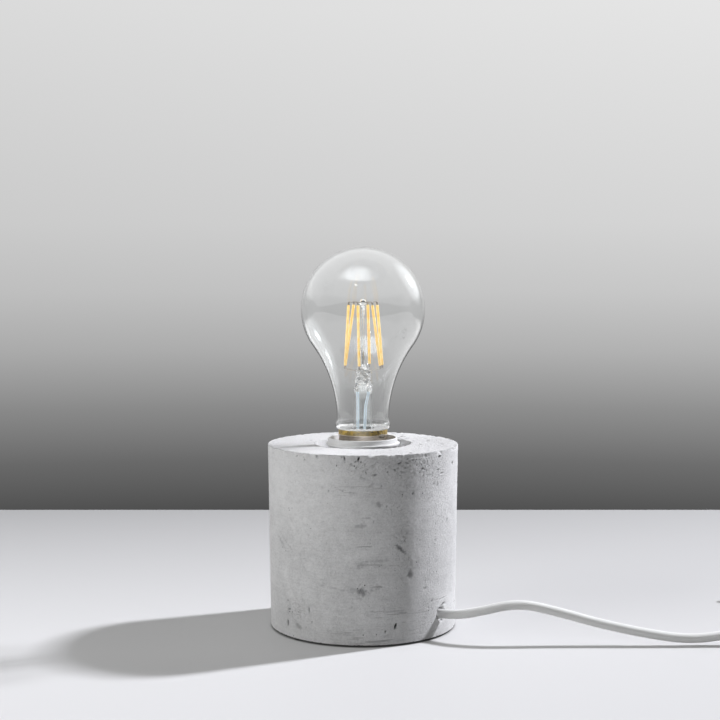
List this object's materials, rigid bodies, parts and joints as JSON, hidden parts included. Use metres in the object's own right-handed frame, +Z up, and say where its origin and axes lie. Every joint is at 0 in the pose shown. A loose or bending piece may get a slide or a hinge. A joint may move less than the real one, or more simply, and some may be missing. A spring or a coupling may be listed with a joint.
{
  "type": "desk lamp",
  "caption": "Desk lamp: a plain concrete cylinder with a recessed screw holder, a clear filament bulb that unscrews, and a white flex with a rocker switch and a flat plug.",
  "frame": {"origin": "on the table, under the axis of the lamp", "axes": "+Z up along the bulb's axis, +X to the right in the picture, -Y towards its camera"},
  "size_m": [0.4186, 0.1159, 0.2066],
  "materials": {
    "concrete": "raw cast, matt, with pits and chipped edges",
    "pad_rubber": "matt",
    "dark_plastic": "matt",
    "zinc_steel": "zinc plated",
    "grey_plastic": "matt",
    "cord_pvc": "smooth, soft sheen",
    "brown_pvc": "smooth",
    "blue_pvc": "smooth",
    "white_plastic": "satin",
    "porcelain": "unglazed",
    "brass": "stamped",
    "clear_glass": "clear, polished",
    "stem_glass": "clear, flame worked",
    "amber_cement": "matt, baked",
    "nickel": "nickel plated",
    "black_glass": "gloss",
    "solder": "tinned",
    "amber_silicone": "soft, satin",
    "support_wire": "bright wire",
    "sleeve_blue": "woven",
    "board_laminate": "laminate",
    "driver_black": "satin",
    "tie_plastic": "matt",
    "rocker_plastic": "satin",
    "pin_sleeve_plastic": "matt"
  },
  "bodies": {
    "base": {"concrete_body": "concrete", "foot_pads": "pad_rubber", "base_cover": "dark_plastic", "cover_screws": "zinc_steel", "screw_plugs": "grey_plastic", "grip_saddle": "dark_plastic", "grip_screws": "zinc_steel", "cord_inner": "cord_pvc", "core_live": "brown_pvc", "core_neutral": "blue_pvc", "holder_nipple": "zinc_steel", "nipple_washer": "zinc_steel", "nipple_nut": "zinc_steel", "holder_dome": "white_plastic", "dome_grub_screw": "zinc_steel", "holder_insert": "porcelain", "terminal_clamps": "brass", "terminal_screws": "zinc_steel", "centre_contact": "brass", "side_contact": "brass", "holder_skirt": "white_plastic", "cord_lead": "cord_pvc", "cord_link": "cord_pvc", "cord_coil": "cord_pvc", "cord_tail": "cord_pvc", "cord_tie": "tie_plastic", "switch_base": "white_plastic", "switch_cover": "white_plastic", "rocker_pin": "zinc_steel", "switch_terminals": "brass", "switch_blade": "brass", "switch_wires": "blue_pvc", "switch_screws": "zinc_steel", "plug_body": "white_plastic", "plug_pins": "nickel", "pin_sleeves": "pin_sleeve_plastic"},
    "bulb_carrier": {"cap_insulator": "black_glass"},
    "bulb": {"bulb_glass": "clear_glass", "bulb_cement": "amber_cement", "bulb_cap": "nickel", "cap_contact": "solder", "bulb_stem": "stem_glass", "led_filaments": "amber_silicone", "top_supports": "support_wire", "bottom_supports": "support_wire", "lead_wires": "support_wire", "lead_sleeves": "sleeve_blue", "driver_board": "board_laminate", "driver_parts": "driver_black"},
    "rocker": {"switch_rocker": "rocker_plastic"}
  },
  "joints": [
    {"name": "bulb_lift", "type": "slide", "parent": "base", "child": "bulb_carrier", "axis": [0, 0, 1], "range_m": [0, 0.01452]},
    {"name": "bulb_turn", "type": "hinge", "parent": "bulb_carrier", "child": "bulb", "pos_m": [0, 0, 0.105], "axis": [0, 0, 1], "range_deg": [0, 1440]},
    {"name": "rocker_tip", "type": "hinge", "parent": "base", "child": "rocker", "pos_m": [0.236, -0.044, 0.0125], "axis": [0, 1, 0], "range_deg": [0, 16]}
  ],
  "couplings": [
    {"joint": "bulb_lift", "follows": "bulb_turn", "m_per_rad": 0.00057757}
  ]
}
